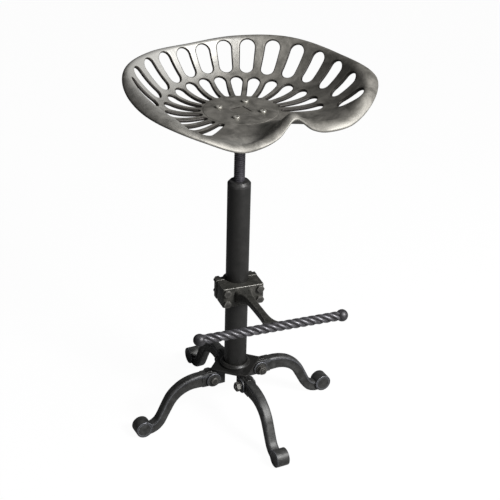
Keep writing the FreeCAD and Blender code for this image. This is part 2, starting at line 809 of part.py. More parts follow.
def seat_skins():
    """Pole rows of the seat's upper face, its rolled rim, its under face and its inner edge."""
    top, under, rim_rows = [], [], [[], []]
    thick = size("pan_thickness")
    for step in range(ROUND_STEPS):
        angle = 180 + 360 * step / ROUND_STEPS
        points, rim, outward = seat_section(angle)
        upper, lower = [], []
        for radius, height, slope in points:
            down = V(slope, 0, -1).normalize() * thick
            upper.append(on_seat(angle, V(radius, 0, height)))
            lower.append(on_seat(angle, V(radius, 0, height) + down))
        top.append(upper)
        under.append(lower)
        reach = outward * (thick * 2 / 3)
        for row, point in zip(rim_rows, (points[-1], None)):
            if point is None:
                last = V(points[-1][0], 0, points[-1][1]) + V(points[-1][2], 0, -1).normalize() * thick
            else:
                last = V(point[0], 0, point[1])
            row.append(on_seat(angle, last + reach))
    top = [list(row) for row in zip(*top)]
    under = [list(row) for row in zip(*under)]
    rim = [top[-1], rim_rows[0], rim_rows[1], under[-1]]
    return [(top, 3), (rim, 3), (under, 3), ([under[0], top[0]], 1)]


def on_seat(angle, point):
    """A point of a section turned to its angle from the seat's back."""
    turn = math.radians(angle + 90)
    return V(point.x * math.cos(turn), point.x * math.sin(turn), point.z)


def round_face(rows, degree):
    """A face through rows of poles that each go once round the seat."""
    count = len(rows[0])
    inside = len(rows) - degree - 1
    skin = Part.BSplineSurface()
    skin.buildFromPolesMultsKnots(
        rows,
        [degree + 1] + [1] * inside + [degree + 1],
        [1] * (count + 1),
        list(range(inside + 2)),
        list(range(count + 1)),
        False,
        True,
        degree,
        3,
    )
    return skin.toShape()


def slot(angle, start, end, near, far):
    """A cutter for one slot: two round ends joined by straight sides, square to the seat's face."""
    inner = on_seat(angle, V(start, 0, wall_height(angle, start)))
    outer = on_seat(angle, V(end, 0, wall_height(angle, end)))
    turn = math.radians(angle + 90)
    along = (outer - inner).normalize()
    across = V(-math.sin(turn), math.cos(turn), 0)
    first, second = inner + along * near, outer - along * far
    lean = math.asin((far - near) / (second - first).Length)
    rise = across * math.cos(lean) - along * math.sin(lean)
    drop = across * -math.cos(lean) - along * math.sin(lean)
    wire = Part.Wire([
        Part.Arc(first + rise * near, first - along * near, first + drop * near).toShape(),
        Part.makeLine(first + drop * near, second + drop * far),
        Part.Arc(second + drop * far, second + along * far, second + rise * far).toShape(),
        Part.makeLine(second + rise * far, first + rise * near),
    ])
    depth = along.cross(across) * (2 * size("pan_thickness"))
    wire.translate(depth * -1)
    return Part.Face(wire).extrude(depth * 2)


def slots():
    """Cutters for both rings of slots."""
    pitch = size("slot_angle")
    cutters = []
    for index in range(INNER_SLOTS):
        angle = pitch * (index - (INNER_SLOTS - 1) / 2)
        start = size("disc_radius + inner_slot_gap")
        ends = size("inner_slot_near_radius"), size("inner_slot_far_radius")
        cutters.append(slot(angle, start, cosines(INNER_SLOT_END, angle), *ends))
    for index in range(OUTER_SLOTS):
        angle = pitch * (index - (OUTER_SLOTS - 1) / 2)
        ends = size("outer_slot_near_radius"), size("outer_slot_far_radius")
        cutters.append(slot(angle, cosines(OUTER_SLOT_START, angle), wall(angle)[0], *ends))
    return cutters


def seat_spots():
    reach = "seat_bolt_circle / 2 / sqrt(2)"
    return [(f"{x} * {reach}", f"{y} * {reach}") for x in SIDES for y in SIDES]


def seat_pan():
    """The pierced seat casting."""
    shell = Part.makeCompound([round_face(rows, degree) for rows, degree in seat_skins()])
    shell.sewShape()
    shape = Part.makeSolid(shell.Shells[0])
    if shape.Volume < 0:
        shape.reverse()
    thick = size("disc_thickness")
    shape = shape.fuse(rod(size("disc_radius"), -thick, 0))
    side = size("square_side + 2 * square_clearance")
    cutters = slots() + [Part.makeBox(side, side, 3 * thick, V(-side / 2, -side / 2, -2 * thick))]
    for x, y in seat_spots():
        hole = rod(size("(seat_bolt_diameter + bolt_clearance) / 2"), -2 * thick, thick)
        hole.translate(V(size(x), size(y), 0))
        cutters.append(hole)
    shape = shape.cut(cutters)
    shape.translate(V(0, 0, size("seat_top")))
    feature("seat_pan", shape, "seat_angle")


def seat_flange():
    """The round plate on the height screw that the seat is bolted to."""
    body = new_body("seat_flange", "seat_angle")
    plate = attach(body, "plate", "XY_Plane", "seat_top - disc_thickness - flange_thickness")
    circle(plate, "0", "0", "flange_diameter")
    circle(plate, "0", "0", "screw_diameter")
    for x, y in seat_spots():
        circle(plate, x, y, "seat_bolt_diameter + bolt_clearance")
    pad(body, plate, "flange_thickness")


def seat_fasteners():
    spots = seat_spots()
    flange = "seat_top - disc_thickness - flange_thickness"
    washer = f"{flange} - seat_washer_thickness"
    nut = f"{washer} - seat_nut_height"
    end = f"{nut} - bolt_end"
    shank = ("round", "seat_bolt_diameter", None, end, f"seat_top - ({end})")
    head = ("round", "seat_bolt_head_diameter", None, "seat_top", "seat_bolt_head_height")
    stack("seat_bolts", spots, [shank, head], "XY_Plane", "seat_angle")
    ring = ("round", "seat_washer_diameter", "seat_bolt_diameter", washer, "seat_washer_thickness")
    stack("seat_washers", spots, [ring], "XY_Plane", "seat_angle")
    hexed = ("hexagon", "seat_nut_flats", "seat_bolt_diameter", nut, "seat_nut_height")
    stack("seat_nuts", spots, [hexed], "XY_Plane", "seat_angle")


# Build, test and write

column_tube()
column_nut()
height_screw()
screw_tail()
hub_plate()
for name, heading in LEGS.items():
    leg(name, heading)
leg_fasteners()
clamp_front()
clamp_rear()
clamp_fasteners()
footrest_bar()
seat_pan()
seat_flange()
seat_fasteners()
doc.recompute()

for item in doc.Objects:
    if {"Invalid", "Error"} & set(item.State):
        raise RuntimeError(f"{item.Label}: {item.State}")
for part in parts:
    if part.Shape.isNull() or not part.Shape.isValid():
        raise RuntimeError(part.Label + ": bad shape")
os.makedirs("parts", exist_ok=True)
for part in parts:
    part.Shape.exportStep(f"parts/{part.Label}.step")
    print(part.Label, len(part.Shape.Solids), round(part.Shape.Volume))
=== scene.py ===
# %% [markdown]
# # A tractor seat stool
# A pierced cast iron seat turns on a trapezoidal screw, which winds in and out of a nut on top of a round
# column. Four cast legs with scroll feet carry the column, and a two-half clamp holds a footrest of twisted
# bar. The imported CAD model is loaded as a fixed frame. Nodes whose shape is already right only get a finish,
# and the castings are made again here with the soft edges and worn faces that a casting has.

# %% Load the frame
import math

import bmesh
import bpy
import numpy as np
from mathutils import Matrix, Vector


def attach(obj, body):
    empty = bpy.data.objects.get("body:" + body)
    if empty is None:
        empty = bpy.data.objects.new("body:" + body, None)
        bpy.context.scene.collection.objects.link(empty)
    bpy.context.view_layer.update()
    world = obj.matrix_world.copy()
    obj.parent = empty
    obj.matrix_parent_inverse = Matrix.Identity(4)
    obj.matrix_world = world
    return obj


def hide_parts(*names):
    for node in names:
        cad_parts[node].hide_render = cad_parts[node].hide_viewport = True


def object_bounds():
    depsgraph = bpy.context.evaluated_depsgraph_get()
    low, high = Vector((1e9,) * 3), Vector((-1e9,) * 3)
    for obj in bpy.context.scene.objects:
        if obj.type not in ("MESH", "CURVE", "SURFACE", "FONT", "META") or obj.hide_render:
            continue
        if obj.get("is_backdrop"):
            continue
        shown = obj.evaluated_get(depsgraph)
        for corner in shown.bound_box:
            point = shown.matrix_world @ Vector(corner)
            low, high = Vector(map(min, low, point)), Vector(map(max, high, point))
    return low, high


MM = 0.001
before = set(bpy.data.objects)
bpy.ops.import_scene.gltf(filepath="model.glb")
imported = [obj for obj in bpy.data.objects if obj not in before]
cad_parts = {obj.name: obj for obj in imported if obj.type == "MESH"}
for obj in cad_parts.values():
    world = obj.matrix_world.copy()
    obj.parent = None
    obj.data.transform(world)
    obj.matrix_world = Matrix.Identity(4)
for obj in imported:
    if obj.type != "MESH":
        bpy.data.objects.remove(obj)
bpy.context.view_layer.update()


def plain_box():
    """The whole object's lowest and highest corner as plain numbers."""
    return [[round(float(value), 6) for value in corner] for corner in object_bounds()]


# %% [markdown]
# ## Camera
# The photo looks down on the stool from its front left. Its focal length, place and tilt were found by
# matching points of the seat, column and feet with the same points of the CAD model, so the render can be
# laid over the photo. The three unit vectors say where the camera looks, and what is right and up for it.

# %% Camera
CAMERA_PLACE = np.array((-0.9335, -1.8657, 1.4553))
FORWARD = np.array((0.40427, 0.78662, -0.46670))
RIGHT = np.array((0.89509, -0.44518, 0.02500))
UPWARD = np.array((0.18810, 0.42784, 0.88406))

camera = bpy.data.objects.new("camera", bpy.data.cameras.new("camera"))
camera.data.lens = 92.83
camera.data.sensor_width = 36.0
camera.data.clip_end = 50.0
turn = np.column_stack((RIGHT, UPWARD, -FORWARD))
camera.matrix_world = Matrix.Translation(CAMERA_PLACE) @ Matrix(turn.tolist()).to_4x4()
bpy.context.scene.collection.objects.link(camera)
bpy.context.scene.camera = camera
bpy.context.scene.view_settings.view_transform = "Standard"

# %% [markdown]
# ## Node and mesh helpers
# Every material is a small tree of nodes. One helper adds a node, sets its properties, and fills its
# sockets: a socket that is handed in gets a link, and any other value is set on the socket itself.
# Colours are written as the hex values a painter would read off the finish, and turned to linear light.


# %% Node helper
def linear(code):
    """An sRGB hex colour as linear red, green, blue and alpha."""
    channels = np.array([int(code[i:i + 2], 16) for i in (1, 3, 5)]) / 255
    low, high = channels / 12.92, ((channels + 0.055) / 1.055) ** 2.4
    return (*np.where(channels <= 0.04045, low, high).tolist(), 1.0)


def add(tree, kind, sockets=(), **settings):
    """Adds a node with its settings, and fills its input sockets by name or number."""
    item = tree.nodes.new(kind)
    for name, value in settings.items():
        setattr(item, name, value)
    for name, value in dict(sockets).items():
        if isinstance(value, bpy.types.NodeSocket):
            tree.links.new(value, item.inputs[name])
        else:
            item.inputs[name].default_value = value
    return item


# %% [markdown]
# A surface is a grid of points that a formula gives as whole arrays, in millimetres. Each grid carries a
# second array, the wear: how much a hand, a boot or the polishing wheel has rubbed that spot. The finish
# reads it as an attribute. Grids that share an edge are merged there, so a piece is one closed skin.


# %% Mesh helpers
def quads(rows, columns, wrap, first):
    """The faces of a grid of numbered points, joined round its columns if it wraps."""
    index = first + np.arange(rows * columns).reshape(rows, columns)
    if wrap:
        index = np.hstack([index, index[:, :1]])
    corners = index[:-1, :-1], index[:-1, 1:], index[1:, 1:], index[1:, :-1]
    return np.stack(corners, -1).reshape(-1, 4).tolist()


def piece(name, grids, material, body, nodes=(), sharp=42):
    """One object from grids (points, wear, wraps, capped), in millimetres, riding on a body."""
    points, wear, faces, first = [], [], [], 0
    for grid, rubbed, wrap, capped in grids:
        rows, columns = grid.shape[:2]
        points.append(grid.reshape(-1, 3))
        wear.append(np.broadcast_to(rubbed, (rows, columns)).reshape(-1))
        faces += quads(rows, columns, wrap, first)
        if capped:
            faces.append(list(range(first, first + columns)))
            faces.append(list(range(first + (rows - 1) * columns, first + rows * columns)))
        first += rows * columns
    mesh = bpy.data.meshes.new(name)
    mesh.from_pydata((np.concatenate(points) * MM).tolist(), [], faces)
    layer = mesh.attributes.new("wear", "FLOAT", "POINT")
    layer.data.foreach_set("value", np.concatenate(wear).astype(np.float32))
    shell = bmesh.new()
    shell.from_mesh(mesh)
    bmesh.ops.remove_doubles(shell, verts=shell.verts, dist=0.01 * MM)
    bmesh.ops.recalc_face_normals(shell, faces=shell.faces)
    shell.to_mesh(mesh)
    shell.free()
    mesh.shade_smooth()
    mesh.set_sharp_from_angle(angle=math.radians(sharp))
    mesh.materials.append(material)
    made = bpy.data.objects.new(name, mesh)
    bpy.context.scene.collection.objects.link(made)
    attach(made, body)
    if nodes:
        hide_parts(*nodes)
    print(name, len(mesh.polygons), "faces")
    return made


def about_z(points, degrees):
    """Points turned about the column's axis."""
    c, s = math.cos(math.radians(degrees)), math.sin(math.radians(degrees))
    return points @ np.array(((c, s, 0), (-s, c, 0), (0, 0, 1)))


def lathe(profile, steps=64):
    """A profile of (radius, height) carried once round Z. A radius of nought closes the end."""
    radius, height = np.array(profile, float).T[:, :, None]
    angle = np.linspace(0, 2 * np.pi, steps, endpoint=False)
    return np.stack([radius * np.cos(angle), radius * np.sin(angle), height + 0 * angle], -1)


def soft(profile, ease):
    """A profile with its inner corners cut into small round ones of about that size."""
    profile = np.array(profile, float)
    corner, before, after = profile[1:-1], profile[:-2], profile[2:]
    back, forth = before - corner, after - corner
    back_length, forth_length = (np.linalg.norm(v, axis=1, keepdims=True) for v in (back, forth))
    back, forth = back / back_length, forth / forth_length
    reach = np.minimum(ease, 0.45 * np.minimum(back_length, forth_length))
    start, end = corner + back * reach, corner + forth * reach
    share = np.linspace(0, 1, 5)[:, None, None]
    arcs = start * (1 - share) ** 2 + 2 * corner * share * (1 - share) + end * share**2
    arcs = arcs.transpose(1, 0, 2).reshape(-1, profile.shape[1])
    return np.vstack([profile[:1], arcs, profile[-1:]])


def corner_wear(profile):
    """Wear that peaks on the rounded corners soft() makes: 1 at their middles and nought elsewhere."""
    arc = np.tile((0.0, 0.7, 1.0, 0.7, 0.0), len(profile) - 2)
    return np.concatenate([[0.0], arc, [0.0]])[:, None]


def turned_grid(profile, ease=0.6, steps=64):
    """A turned piece with softened corners and its wear, ready for piece()."""
    return lathe(soft(profile, ease), steps), corner_wear(profile), True, False


def round_outline(corners, ease):
    """A closed outline with rounded corners: each corner gives way to a short quadratic curve."""
    corners = np.array(corners, float)
    back, forth = np.roll(corners, 1, 0) - corners, np.roll(corners, -1, 0) - corners
    lengths = [np.linalg.norm(v, axis=1, keepdims=True) for v in (back, forth)]
    reach = np.minimum(ease, 0.45 * np.minimum(*lengths))
    start, end = corners + back / lengths[0] * reach, corners + forth / lengths[1] * reach
    share = np.linspace(0, 1, 5)[:, None, None]
    arcs = start * (1 - share) ** 2 + 2 * corners * share * (1 - share) + end * share**2
    return arcs.transpose(1, 0, 2).reshape(-1, 2)


def inset(outline, distance):
    """A closed outline moved inwards, each point along the mean normal of the edges that meet there."""
    forth = np.roll(outline, -1, 0) - outline
    forth /= np.linalg.norm(forth, axis=1, keepdims=True) + 1e-12
    normal = np.stack([-forth[:, 1], forth[:, 0]], -1)
    mean = normal + np.roll(normal, 1, 0)
    mean /= np.linalg.norm(mean, axis=1, keepdims=True) + 1e-12
    x, y = outline.T
    way = np.sign(np.sum(x * np.roll(y, -1) - y * np.roll(x, -1)))
    return outline + mean * distance * way


def slab(outline, low, high, ease):
    """A plate: an outline carried up from low to high, drawn in at both ends along a quarter circle."""
    angle = np.radians((0, 30, 60, 90))
    drawn = ease * (1 - np.sin(angle))
    heights = np.concatenate([low + ease * (1 - np.cos(angle)), high - ease * (1 - np.cos(angle[::-1]))])
    rows = [inset(outline, distance) for distance in (*drawn, *drawn[::-1])]
    grid = [np.column_stack([row, np.full(len(row), height)]) for row, height in zip(rows, heights)]
    wear = np.array((0.2, 0.9, 0.9, 0.2, 0.2, 0.9, 0.9, 0.2))[:, None]
    return np.stack(grid), wear, True, True


NUT_FACE = 0.94
CONE_SLOPE = 0.58


def hexagon(flats, low, high, cut_low=True, cut_high=True, steps=96):
    """A hexagon along Z. A turned cone has cut its corners, so the edge falls away where a corner stands
    out, and leaves a round face a little smaller than the flats."""
    angle = np.linspace(0, 2 * np.pi, steps, endpoint=False)
    side = flats / 2 / np.cos(angle % (np.pi / 3) - np.pi / 6)
    face = flats / 2 * NUT_FACE
    drop = (side - face) * CONE_SLOPE
    zero = np.zeros(steps)
    rows = [(zero, low)]
    rows += [(zero + face, low), (side, low + drop)] if cut_low else [(side, low)]
    rows += [(side, high - drop), (zero + face, high)] if cut_high else [(side, high)]
    rows.append((zero, high))
    grid = np.stack([np.stack([r * np.cos(angle), r * np.sin(angle), zero + z], -1) for r, z in rows])
    wear = np.zeros(len(rows))
    wear[1:-1] = 0.7
    return grid, wear[:, None], True, False


def smooth_path(stations, steps):
    """A smooth curve through stations (Catmull-Rom): each span is the cubic whose end slopes are the mean
    of the neighbouring steps. Every column of the stations is carried along."""
    stations = np.array(stations, float)
    before = np.vstack([2 * stations[:1] - stations[1:2], stations, 2 * stations[-1:] - stations[-2:-1]])
    a, b, c, d = before[:-3], before[1:-2], before[2:-1], before[3:]
    t = np.linspace(0, 1, steps, endpoint=False)[:, None, None]
    bend, twist = a - 2.5 * b + 2 * c - 0.5 * d, 0.5 * (d - a + 3 * (b - c))
    curve = b + 0.5 * t * (c - a) + t**2 * bend + t**3 * twist
    curve = curve.transpose(1, 0, 2).reshape(-1, stations.shape[1])
    return np.vstack([curve, stations[-1:]])


def squarish(power, steps=56):
    """A rounded rectangle of half size 1: cosine and sine, each raised to 2 / power."""
    angle = np.linspace(0, 2 * np.pi, steps, endpoint=False)
    c, s = np.cos(angle), np.sin(angle)
    return np.sign(c) * np.abs(c) ** (2 / power), np.sign(s) * np.abs(s) ** (2 / power)


def closed(grid, wear):
    """A loft whose first and last rows are each drawn together to a point, so that it has no open end."""
    ends = [row.mean(axis=0, keepdims=True) + 0 * row for row in (grid[0], grid[-1])]
    wear = np.broadcast_to(wear, grid.shape[:2])
    return np.concatenate([ends[:1], grid, ends[1:]]), np.vstack([wear[:1], wear, wear[-1:]]), True, False


# %% [markdown]
# ## Finishes
# All the castings share one way of being made: sand gives them a fine pebble, the fettler's wheel and years
# of use rub their high edges, and a thin film of graphite paint or lacquer lies over them. So one function
# makes them: a cloudy mix of two tones, a third tone where the wear attribute and some noise agree, a
# roughness that follows the grain, and a bump of two sizes. The sizes are real ones in millimetres.


# %% Material for castings and turned metal
def metal(name, dark, light, worn, metallic, rough, mottle_mm, grain_mm, bump_mm, wear_gain=1.0,
          wear_rough=0.35, scale_and_shade="#24211e"):
    """A rubbed metal or paint: noise of two real sizes mixes two tones, wear lays bare a third, and where
    the wear is below nought a dark fourth tone is laid: black scale, and painted shade in slots, holes and
    grooves."""
    made = bpy.data.materials.new(name)
    made.use_nodes = True
    tree = made.node_tree
    shader = tree.nodes["Principled BSDF"]
    place = add(tree, "ShaderNodeTexCoord").outputs["Object"]
    cloud = add(tree, "ShaderNodeTexNoise", {
        "Vector": place, "Scale": 1 / (mottle_mm * MM), "Detail": 5.0, "Roughness": 0.62, "Distortion": 0.4,
    }).outputs["Fac"]
    grain = add(tree, "ShaderNodeTexNoise", {
        "Vector": place, "Scale": 1 / (grain_mm * MM), "Detail": 3.0, "Roughness": 0.7,
    }).outputs["Fac"]
    tone = add(tree, "ShaderNodeMapRange", {"Value": cloud, "From Min": 0.32, "From Max": 0.68})
    speck = add(tree, "ShaderNodeMath", {0: grain, 1: 0.5}, operation="SUBTRACT")
    mixed = add(tree, "ShaderNodeMath", {
        0: speck.outputs[0], 1: 0.9, 2: tone.outputs[0],
    }, operation="MULTIPLY_ADD")
    body_colour = add(tree, "ShaderNodeMix", {
        "Factor": mixed.outputs[0], 6: linear(dark), 7: linear(light),
    }, data_type="RGBA", clamp_factor=True)
    rubbed = add(tree, "ShaderNodeAttribute", attribute_name="wear").outputs["Fac"]
    ragged = add(tree, "ShaderNodeMath", {0: speck.outputs[0], 1: 1.6, 2: rubbed}, operation="MULTIPLY_ADD")
    bare = add(tree, "ShaderNodeMapRange", {
        "Value": ragged.outputs[0], "From Min": 0.35, "From Max": 1.25, "To Max": wear_gain,
    }, interpolation_type="SMOOTHSTEP")
    rubbed_colour = add(tree, "ShaderNodeMix", {
        "Factor": bare.outputs[0], 6: body_colour.outputs[2], 7: linear(worn),
    }, data_type="RGBA", clamp_factor=True)
    # Below nought the wear lays on the dark tone: black scale, and painted shade where the parts call for it.
    scale_and_shade_share = add(tree, "ShaderNodeMath", {0: rubbed, 1: -1.0}, operation="MULTIPLY", use_clamp=True)
    colour = add(tree, "ShaderNodeMix", {
        "Factor": scale_and_shade_share.outputs[0], 6: rubbed_colour.outputs[2], 7: linear(scale_and_shade),
    }, data_type="RGBA", clamp_factor=True)
    finish = add(tree, "ShaderNodeMapRange", {
        "Value": mixed.outputs[0], "To Min": rough[0], "To Max": rough[1],
    })
    polished = add(tree, "ShaderNodeMix", {
        "Factor": bare.outputs[0], 2: finish.outputs[0], 3: wear_rough,
    })
    pebble = add(tree, "ShaderNodeBump", {"Height": grain, "Distance": bump_mm * MM, "Strength": 0.6})
    wavy = add(tree, "ShaderNodeBump", {
        "Height": cloud, "Distance": 4 * bump_mm * MM, "Strength": 0.35, "Normal": pebble.outputs[0],
    })
    tree.links.new(colour.outputs[2], shader.inputs["Base Color"])
    tree.links.new(polished.outputs[0], shader.inputs["Roughness"])
    tree.links.new(wavy.outputs[0], shader.inputs["Normal"])
    shader.inputs["Metallic"].default_value = metallic
    return made


# %% The stool's finishes
# Grey iron, ground with a flap wheel and lacquered: soft grey with brownish clouds and pale rubbed edges.
seat_iron = metal(
    "burnished_cast_iron", "#585651", "#827f79", "#acaba7", 0.55, (0.48, 0.64), 24, 1.1, 0.26, 0.85, 0.52)
# Graphite-black enamel over sand-cast iron, rubbed to slate along the ribs, where the pale bluish worn tone is
# partly a painted highlight.
leg_iron = metal(
    "graphite_cast_iron", "#292928", "#454544", "#8a8c95", 0.4, (0.4, 0.58), 14, 1.6, 0.35, 0.8)
clamp_iron = metal(
    "graphite_clamp_casting", "#262623", "#403f3b", "#8a8882", 0.35, (0.38, 0.56), 12, 1.5, 0.35, 0.8)
bar_iron = metal(
    "forged_bar_graphite", "#2b2a2c", "#474649", "#939297", 0.45, (0.38, 0.54), 8, 1.2, 0.25, 0.9)
# Satin powder coat: nearly even, with the faint orange peel that a baked coat has.
black_paint = metal(
    "satin_black_powder_coat", "#161615", "#201f1e", "#454441", 0.1, (0.36, 0.46), 20, 2.2, 0.12, 0.4)
# Turned steel, dark with oil, which shines on the thread's crests.
nut_steel = metal("turned_dark_steel", "#2b2b2b", "#424140", "#94928f", 0.45, (0.3, 0.45), 10, 0.8, 0.05)
screw_steel = metal("oiled_screw_steel", "#3f3e43", "#5e5c61", "#b5b2b4", 0.55, (0.22, 0.42), 6, 0.9, 0.05)
# Bright zinc plate: pale, and glossier than any iron beside it.
zinc_steel = metal("zinc_plated_steel", "#77756f", "#a19f98", "#c4c1b9", 0.6, (0.22, 0.36), 5, 0.7, 0.03)
# Black oxide: dull and nearly black, with the corners rubbed to grey.
dark_steel = metal(
    "black_oxide_steel", "#292827", "#403f3c", "#85837d", 0.4, (0.42, 0.6), 6, 0.9, 0.08, 0.7)
# Satin paint on rolled plate, smoother than a casting.
black_steel = metal(
    "satin_black_steel", "#262625", "#353432", "#5e5c58", 0.2, (0.38, 0.5), 15, 1.6, 0.10, 0.5)
# Natural nylon, milky and dull. It sits inside the tube.
nylon = metal("natural_nylon", "#d8d5c9", "#e4e1d6", "#efece2", 0.0, (0.45, 0.55), 12, 1.0, 0.04)

for node, finish in {
    "column_tube": black_paint,
    "column_nut": nut_steel,
    "height_screw": screw_steel,
    "seat_flange": black_steel,
    "guide_ring": nylon,
    "stop_washer": zinc_steel,
    "stop_screw": zinc_steel,
}.items():
    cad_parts[node].data.materials.clear()
    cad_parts[node].data.materials.append(finish)

# %% [markdown]
# The screw's square head lies in the disc and is worn with it, so above the disc's underside the same tree
# takes the seat's tone. The height decides it, through the Z of the object's own coordinates.

# %% The screw's square head
HEAD_FROM = 621.5
HEAD_FINISH = {"Base Color": linear("#6f6c66"), "Roughness": 0.55, "Metallic": 0.6}


def worn_above(material, height_mm, values):
    """Above a height, the shader's sockets take other values than the material has below it."""
    tree = material.node_tree
    shader = tree.nodes["Principled BSDF"]
    place = add(tree, "ShaderNodeTexCoord").outputs["Object"]
    height = add(tree, "ShaderNodeSeparateXYZ", {0: place}).outputs["Z"]
    above = add(tree, "ShaderNodeMath", {0: height, 1: height_mm * MM}, operation="GREATER_THAN")
    for name, worn in values.items():
        link = shader.inputs[name].links
        plain = link[0].from_socket if link else shader.inputs[name].default_value
        kind, first, result = ("RGBA", 6, 2) if name == "Base Color" else ("FLOAT", 2, 0)
        mixed = add(tree, "ShaderNodeMix", {
            "Factor": above.outputs[0], first: plain, first + 1: worn,
        }, data_type=kind)
        tree.links.new(mixed.outputs[result], shader.inputs[name])


worn_above(screw_steel, HEAD_FROM, HEAD_FINISH)

# %% [markdown]
# ## The seat
# The real seat is one iron casting: a flat disc in the middle, a wall that sweeps up at the back and sides,
# two hollows for the thighs with a pommel between them, and a lip rolled over all round. It could be carved
# from a subdivided plane, but its slots would then be hard to keep round. Here each angle has its own
# section, a power curve and a rolled lip between a few measured stations, and the casting is all of these
# sections side by side.

# %% Stations of the seat, by the angle from its back
STATIONS = np.array((0, 30, 60, 90, 115, 130, 145, 157, 168, 180), float)
RIM_RADIUS = np.array((173, 182, 198, 215, 235, 225, 201, 174, 165, 157), float)
RIM_HEIGHT = np.array((66, 70, 71, 59, 51, 33, 9, 4, 15, 38), float)
WALL_RADIUS = np.array((163, 172, 186, 190, 201, 206, 158, 128, 115, 112), float)
WALL_HEIGHT = np.array((67, 69, 68, 63, 52, 36, 6, 5, 13, 18), float)
WALL_POWER = np.array((2.5, 2.6, 2.8, 3.4, 3.1, 2.7, 2.0, 1.4, 1.1, 1.05))
WALL_LEAN = np.array((0, 0, 0, 1, 4, 7, 4, 6, 6, 0), float)
LIP_FALL = np.array((28, 30, 32, 33, 36, 44, 50, 50, 50, 45), float)
LIP_ROLL = 1.3
SEAT_TOP = 628.0
SEAT_ANGLE = 7.8
DISC = 66.0
DISC_STEP = 0.6
DISC_THICKNESS = 8.0
PAN = 6.0
SQUARE_HOLE = 12.6


def at_station(values, angle):
    """Cubic steps between the stations with the mean slope at each, level at the back and the front."""
    angle = np.abs((angle + 180) % 360 - 180)
    slope = np.zeros(len(values))
    slope[1:-1] = (values[2:] - values[:-2]) / (STATIONS[2:] - STATIONS[:-2])
    index = np.clip(np.searchsorted(STATIONS, angle, side="right") - 1, 0, len(STATIONS) - 2)
    span = STATIONS[index + 1] - STATIONS[index]
    part = (angle - STATIONS[index]) / span
    bend = (1 - part) * slope[index] - part * slope[index + 1]
    rise = (values[index + 1] - values[index]) * part**2 * (3 - 2 * part)
    return values[index] + rise + span * part * (1 - part) * bend


def cosines(terms, angle):
    """A sum of cosines of the angle and its multiples."""
    return sum(term * np.cos(np.radians(order * angle)) for order, term in enumerate(terms))


def roll(start, slope, end, fall, share):
    """The lip: a cubic from start, which leaves along the wall's slope and arrives at end falling."""
    pull = LIP_ROLL * np.hypot(end[0] - start[0], end[1] - start[1])
    ease = share**2 * (3 - 2 * share)
    leave, arrive = pull * share * (1 - share) ** 2, pull * share**2 * (1 - share)
    steep = np.hypot(1, slope)
    radius = start[0] + (end[0] - start[0]) * ease + leave / steep - arrive * np.cos(fall)
    height = start[1] + (end[1] - start[1]) * ease + leave * slope / steep + arrive * np.sin(fall)
    return radius, height


def section(u, angle, depth):
    """Radius and height on the seat's section: u runs 0 to 1 up the wall and 1 to 2 over the lip, and depth
    from 0 on the upper face to 1 on the under face."""
    end_radius, end_height, power = (at_station(v, angle) for v in (WALL_RADIUS, WALL_HEIGHT, WALL_POWER))
    end_height = end_height - at_station(WALL_LEAN, angle) * np.sign(np.sin(np.radians(angle)))
    share = np.clip(u, 0, 1)
    slope = power * (end_height + DISC_STEP) / (end_radius - DISC) * share ** (power - 1)
    radius = DISC + (end_radius - DISC) * share
    height = (end_height + DISC_STEP) * share**power - DISC_STEP
    down = PAN / np.hypot(1, slope)
    fall = np.radians(at_station(LIP_FALL, angle))
    rim = at_station(RIM_RADIUS, angle), at_station(RIM_HEIGHT, angle)
    over = np.clip(u - 1, 0, 1)
    faces = []
    for side, start in ((1, (radius, height)), (-1, (radius + down * slope, height - down))):
        end = rim[0] + side * PAN / 2 * np.sin(fall), rim[1] + side * PAN / 2 * np.cos(fall)
        rolled = roll(start, slope, end, fall, over)
        faces.append([np.where(u > 1, lip, flat) for lip, flat in zip(rolled, start)])
    return [(1 - depth) * upper + depth * lower for upper, lower in zip(*faces)]


def seat_place(radius, height, angle):
    """A point of a section at its angle from the seat's back, turned and lifted to where the seat is."""
    turned = np.radians(angle + 90 + SEAT_ANGLE)
    return np.stack([radius * np.cos(turned), radius * np.sin(turned), height + SEAT_TOP + 0 * radius], -1)


def seat_skin(u, angle, depth):
    """Points of the casting from arrays of u, angle and depth."""
    u, angle, depth = np.broadcast_arrays(u, angle, depth)
    return seat_place(*section(u, angle, depth), angle)


# %% [markdown]
# The slots are what makes this seat. Each has two round ends of different size and straight sides. Round
# each slot lies a cell of 15 degrees: its outer loop runs along the cell's border, which it shares with its
# neighbours, and its inner loops run round the slot, over a small radius, through the wall and out below.
# In this way every slot edge is truly round, and no boolean cut is needed.

# %% Cells round the slots
CELL = 15.0
CELLS = int(360 / CELL)
ROUND = 16
SIDE = 12
COLUMNS = CELLS * ROUND
LIP_START = 1.25
INNER_SLOTS, OUTER_SLOTS = 17, 18
# Radii of each slot's near and far end.
INNER_ENDS, OUTER_ENDS = (4.6, 10.5), (11.7, 13.3)
# Where the slots and their cells begin and end: past the disc's edge, or a sum of cosines of the angle.
DISC_BORDER, DISC_GAP = 1.8, 4.8
INNER_FAR = (136.0, -10.5, -1.5)
BETWEEN_RINGS = (144.2, -16.2, -0.8)
OUTER_NEAR = (152.5, -22.0)
SLOT_EASE = 2.4
# How dark the slot walls are made, from a cell's border in to its slot and down through the wall: black
# scale and painted shade inside the slots.
SLOT_SCALE_AND_SHADE = np.array((0, 0, 0, 0, 0.9, 1, 1, 1))[:, None]


